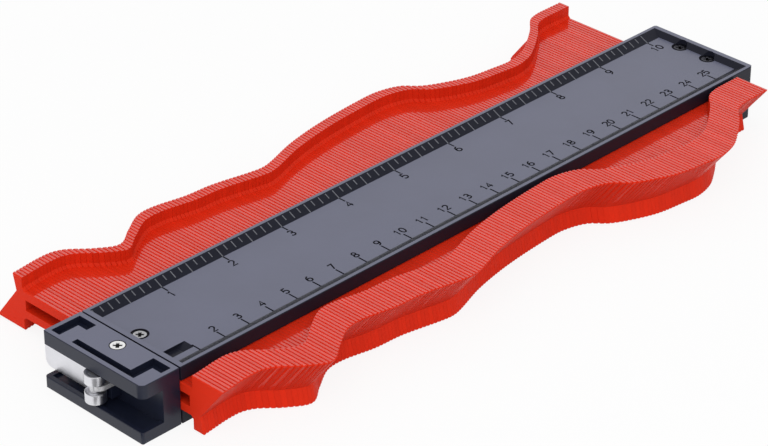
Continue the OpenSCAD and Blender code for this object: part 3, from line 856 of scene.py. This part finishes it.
class GAUGE_OT_stage(bpy.types.Operator):
    """Makes the white bench, the dark card, the lamp, the surrounding light and the camera"""
    bl_idname = "gauge.stage"
    bl_label = "Stage"

    FLAG_CORNERS = ((-148, -6), (-170, -12), (-158, -38), (-146, -24))    # on the bench, in millimetres

    def bench(self, stage):
        """A wide white floor that keeps a soft shadow and shows as white to the camera and in gloss."""
        half, low = stage.bench, -stage.bench_drop
        mesh = bpy.data.meshes.new("bench")
        mesh.from_pydata([(-half, -half, low), (half, -half, low), (half, half, low), (-half, half, low)],
                         [], [(0, 1, 2, 3)])
        bench = bpy.data.objects.new("bench", mesh)
        bpy.context.scene.collection.objects.link(bench)
        material = bpy.data.materials.new("bench_white")
        material.use_nodes = True
        paint = Paint(material.node_tree)
        paint.tree.nodes.clear()
        seen = self.seen(paint)
        matt = paint.add("ShaderNodeBsdfDiffuse", inputs={"Color": rgba([stage.bench_white] * 3)})
        glow = paint.add("ShaderNodeEmission", inputs={"Color": (1, 1, 1, 1), "Strength": 1.0})
        both = paint.add("ShaderNodeMixShader", inputs={0: stage.bench_glow * seen, 1: matt, 2: glow})
        paint.add("ShaderNodeOutputMaterial", inputs={"Surface": both}, out=None)
        mesh.materials.append(material)

    def seen(self, paint):
        """1 for what the camera, gloss or glass sees, and 0 for light that falls on the object."""
        rays = [paint.add("ShaderNodeLightPath", out=name)
                for name in ("Is Camera Ray", "Is Glossy Ray", "Is Transmission Ray")]
        return paint.step(rays[0] + rays[1] + rays[2], 0.0, 0.5)

    def flag(self, stage):
        """A small dark card in front of the lever that only gloss shows: round metal mirrors it as the dark
        band that it has in a white tent."""
        low = stage.flag_rise - stage.bench_drop
        mesh = bpy.data.meshes.new("flag")
        mesh.from_pydata([(x * MM, y * MM, low) for x, y in self.FLAG_CORNERS], [], [(0, 1, 2, 3)])
        flag = bpy.data.objects.new("flag", mesh)
        bpy.context.scene.collection.objects.link(flag)
        flag.visible_camera = flag.visible_diffuse = flag.visible_shadow = flag.visible_transmission = False
        material = bpy.data.materials.new("flag_black")
        material.use_nodes = True
        paint = Paint(material.node_tree)
        paint.tree.nodes.clear()
        glow = paint.add("ShaderNodeEmission", inputs={"Color": (1, 1, 1, 1), "Strength": stage.flag_glow})
        paint.add("ShaderNodeOutputMaterial", inputs={"Surface": glow}, out=None)
        mesh.materials.append(material)

    def surround(self, scene, stage):
        """Even light, with a white horizon and a dimmer zenith in what gloss shows."""
        world = bpy.data.worlds.new("studio")
        world.use_nodes = True
        scene.world = world
        paint = Paint(world.node_tree)
        paint.tree.nodes.clear()
        height = paint.part(paint.add("ShaderNodeTexCoord", out="Generated"), 2)
        shown = 1.0 - stage.dim * paint.step(height, stage.dim_low, stage.dim_high)
        camera = paint.add("ShaderNodeLightPath", out="Is Camera Ray")
        seen = self.seen(paint)
        strength = seen * (camera + (1.0 - camera) * shown) + (1.0 - seen) * stage.ambient
        light = paint.add("ShaderNodeBackground", inputs={"Color": (1, 1, 1, 1), "Strength": strength})
        paint.add("ShaderNodeOutputWorld", inputs={"Surface": light}, out=None)

    def lamp(self, scene, stage):
        """A wide soft lamp above the camera's side, which lights both upright sides alike and which gloss
        doesn't show."""
        light = bpy.data.lights.new("soft_lamp", "AREA")
        light.energy, light.size = stage.lamp, stage.lamp_size
        lamp = bpy.data.objects.new("soft_lamp", light)
        lamp.location = stage.lamp_place
        lamp.rotation_euler = (-lamp.location).to_track_quat("-Z", "Y").to_euler()
        lamp.visible_glossy = False
        scene.collection.objects.link(lamp)

    def camera(self, scene, stage):
        """Looks at the aim from the given direction and distance."""
        turn, rise = math.radians(stage.azimuth), math.radians(stage.elevation)
        ahead = Vector((math.sin(turn) * math.cos(rise), math.cos(turn) * math.cos(rise), -math.sin(rise)))
        camera = bpy.data.objects.new("camera", bpy.data.cameras.new("camera"))
        camera.data.lens, camera.data.sensor_width = stage.lens, 36
        camera.data.clip_start, camera.data.clip_end = stage.distance / 20, 20 * stage.distance
        camera.location = Vector(stage.aim) - ahead * stage.distance
        camera.rotation_euler = ahead.to_track_quat("-Z", "Y").to_euler()
        scene.collection.objects.link(camera)
        scene.camera = camera

    def execute(self, context):
        scene, stage = context.scene, context.scene.gauge.stage
        scene.view_settings.view_transform = "Standard"
        self.bench(stage)
        self.flag(stage)
        self.surround(scene, stage)
        self.lamp(scene, stage)
        self.camera(scene, stage)
        return {"FINISHED"}


class GAUGE_PT_panel(bpy.types.Panel):
    """Lists the gauge's operators"""
    bl_label = "Contour gauge"
    bl_idname = "GAUGE_PT_panel"
    bl_space_type = "VIEW_3D"
    bl_region_type = "UI"
    bl_category = "Gauge"

    def draw(self, context):
        for operator in OPERATORS:
            self.layout.operator(operator.bl_idname)


OPERATORS = (GAUGE_OT_leaves, GAUGE_OT_body, GAUGE_OT_lock, GAUGE_OT_screws, GAUGE_OT_ruler, GAUGE_OT_stage)
CLASSES = (LeafSizes, BodySizes, ScrewSizes, RulerSizes, Finishes, StageSettings, GaugeSettings, *OPERATORS,
           GAUGE_PT_panel)


def register():
    for cls in CLASSES:
        bpy.utils.register_class(cls)
    bpy.types.Scene.gauge = PointerProperty(type=GaugeSettings)


def unregister():
    del bpy.types.Scene.gauge
    for cls in reversed(CLASSES):
        bpy.utils.unregister_class(cls)


def main():
    register()
    bpy.ops.gauge.leaves()
    bpy.ops.gauge.body()
    bpy.ops.gauge.lock()
    bpy.ops.gauge.screws()
    bpy.ops.gauge.ruler()
    bpy.ops.gauge.stage()


if __name__ == "__main__":
    main()
